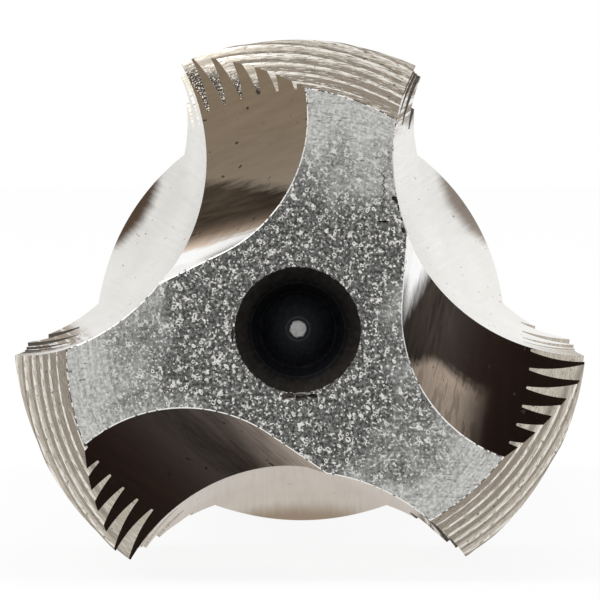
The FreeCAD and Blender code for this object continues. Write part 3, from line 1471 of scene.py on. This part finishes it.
    def sharpen_borders(self, tap: Shape) -> None:
        """Keep every edge sharp where two tools' cuts meet.

        Args:
            tap: The cut tap.
        """
        finishes: dict[tuple[int, int], set[int]] = {}
        for face in tap.body.data.polygons:
            for key in face.edge_keys:
                finishes.setdefault(key, set()).add(face.material_index)
        with tap.picking(Piece.EDGE, lambda edge: len(finishes[edge.key]) > 1):
            bpy.ops.mesh.mark_sharp()


@dataclass(frozen=True)
class Flag:
    """A dull card that stands along the tap's side, which only its reflections show."""

    name: str
    aside: float
    start: float
    end: float
    height: float = 330.0
    colour: Colour = (0.09, 0.085, 0.08)

    def stand(self) -> None:
        """Stand the card up on the floor."""
        card = Shape.drawn_from(self.name, (self.aside, self.start, 0))
        card.pull((0, self.end - self.start, 0))
        bpy.ops.mesh.select_all(action="SELECT")
        card.pull((0, 0, self.height))
        nothing_selected()
        paper = Surface(self.name)
        paper.show(paper.node("ShaderNodeEmission", {}, self.colour, 1.0))
        card.body.data.materials.append(paper.material)
        card.body.visible_camera = False
        card.body.visible_diffuse = False
        card.body.visible_shadow = False
        log.info("%s: a card beside the tap", self.name)


@dataclass(frozen=True)
class Studio:
    """The pale floor, the white surroundings, a soft lamp and dull cards."""

    floor_size: float = 6.0
    floor_gap: float = 0.01
    floor_colour: Colour = (0.9, 0.9, 0.9)
    floor_glow: float = 0.9
    lamp_place: Point = (-0.6, -0.5, 1.2)
    lamp_size: float = 1.0
    lamp_power: float = 4.0
    card_distance: float = 500.0
    near_card: tuple[float, float] = (-80.0, 900.0)
    front_card: tuple[float, float] = (-1300.0, -450.0)

    def seen(self, paint: Nodes) -> Wire:
        """Return 1 for a ray that shows the background: from the camera, a gloss or a glass."""
        camera, gloss, glass = [paint.node("ShaderNodeLightPath", {}, output=ray.value) for ray in Ray]
        return paint.maths("MAXIMUM", paint.maths("MAXIMUM", camera, gloss), glass)

    def lay_floor(self) -> None:
        """Lay the floor just under the tap."""
        nothing_selected()
        bpy.ops.mesh.primitive_plane_add(size=self.floor_size, location=(0, 0, -self.floor_gap * MM))
        floor = bpy.context.object
        floor.name = "floor"
        paint = Surface("pale_floor")
        dull = paint.node("ShaderNodeBsdfDiffuse", {}, self.floor_colour)
        glow = paint.node("ShaderNodeEmission", {}, WHITE, 1.0)
        paint.show(paint.over(self.seen(paint) * self.floor_glow, dull, glow))
        floor.data.materials.append(paint.material)
        log.info("%s: %.1f m wide", floor.name, self.floor_size)

    def light_world(self) -> None:
        """Make the surroundings white to the eye, and a plain soft light elsewhere."""
        world = bpy.data.worlds.new("studio")
        world.use_nodes = True
        bpy.context.scene.world = world
        paint = Nodes(world.node_tree)
        soft = paint.node("ShaderNodeBackground", {}, WHITE, 1.0)
        white = paint.node("ShaderNodeBackground", {}, WHITE, 1.0)
        paint.show(paint.over(self.seen(paint), soft, white))

    def hang_lamp(self) -> None:
        """Hang a soft square lamp that faces the tap's point."""
        light = bpy.data.lights.new("key_lamp", "AREA")
        light.size = self.lamp_size
        light.energy = self.lamp_power
        lamp = bpy.data.objects.new("key_lamp", light)
        lamp.location = self.lamp_place
        lamp.rotation_euler = (-Vector(self.lamp_place)).to_track_quat("-Z", "Y").to_euler()
        bpy.context.scene.collection.objects.link(lamp)
        log.info("%s: %.1f W", lamp.name, self.lamp_power)

    def stand_cards(self) -> None:
        """Stand two cards on each side."""
        for name, (start, end) in (("flag", self.near_card), ("flag_front", self.front_card)):
            for side, sign in (("right", 1), ("left", -1)):
                Flag(f"{name}_{side}", sign * self.card_distance, start, end).stand()


@dataclass(frozen=True)
class Eye:
    """The camera: near the tap's axis, looking at its cutting end."""

    distance: float = 0.3
    sensor: float = 36.0
    focal_pixels: float = 14845.0
    picture: float = 600.0
    aside: float = 0.000046
    above: float = 0.000606
    look_aside: float = -0.0022
    look_down: float = -0.0048
    nearest: float = 0.01
    farthest: float = 20.0

    def look(self, tip: Vector, inwards: Vector) -> None:
        """Stand the camera before the tap.

        Args:
            tip: The middle of the end face at the point.
            inwards: The axis, from there into the tap.
        """
        up = ACROSS.cross(inwards)
        view = (inwards + self.look_aside * ACROSS + self.look_down * up).normalized()
        camera = bpy.data.objects.new("camera", bpy.data.cameras.new("camera"))
        camera.data.sensor_width = self.sensor
        camera.data.lens = self.focal_pixels * self.sensor / self.picture
        camera.data.clip_start = self.nearest
        camera.data.clip_end = self.farthest
        camera.location = tip - self.distance * view + self.aside * ACROSS + self.above * up
        camera.rotation_euler = view.to_track_quat("-Z", "Y").to_euler()
        bpy.context.scene.collection.objects.link(camera)
        bpy.context.scene.camera = camera
        log.info("%s: %.1f m from the tap", camera.name, self.distance)


def main() -> None:
    """Build the tap, lay it down, and stand it in a studio."""
    logging.basicConfig(level=logging.INFO)
    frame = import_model()
    mounts = {mount["name"]: mount for mount in frame["record"]["mounts"]}
    tip = Vector(mounts["point_centre"]["pos_m"])
    inwards = -Vector(mounts["point_centre"]["axis"])
    dip = math.degrees(math.asin(-inwards.z))
    Surface.laid(tip / MM, dip)

    tap = Tap().model()
    tap.turn(-dip, Axis.SIDEWAYS)
    tap.move(tip / MM)
    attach(tap.body, "root")
    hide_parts("spiral_point_tap")
    log.info("%s: %d faces", tap.body.name, len(tap.body.data.polygons))

    studio = Studio()
    studio.lay_floor()
    studio.light_world()
    studio.hang_lamp()
    studio.stand_cards()
    Eye().look(tip, inwards)

    scene = bpy.context.scene
    scene.view_settings.view_transform = "Standard"


if __name__ == "__main__":
    main()
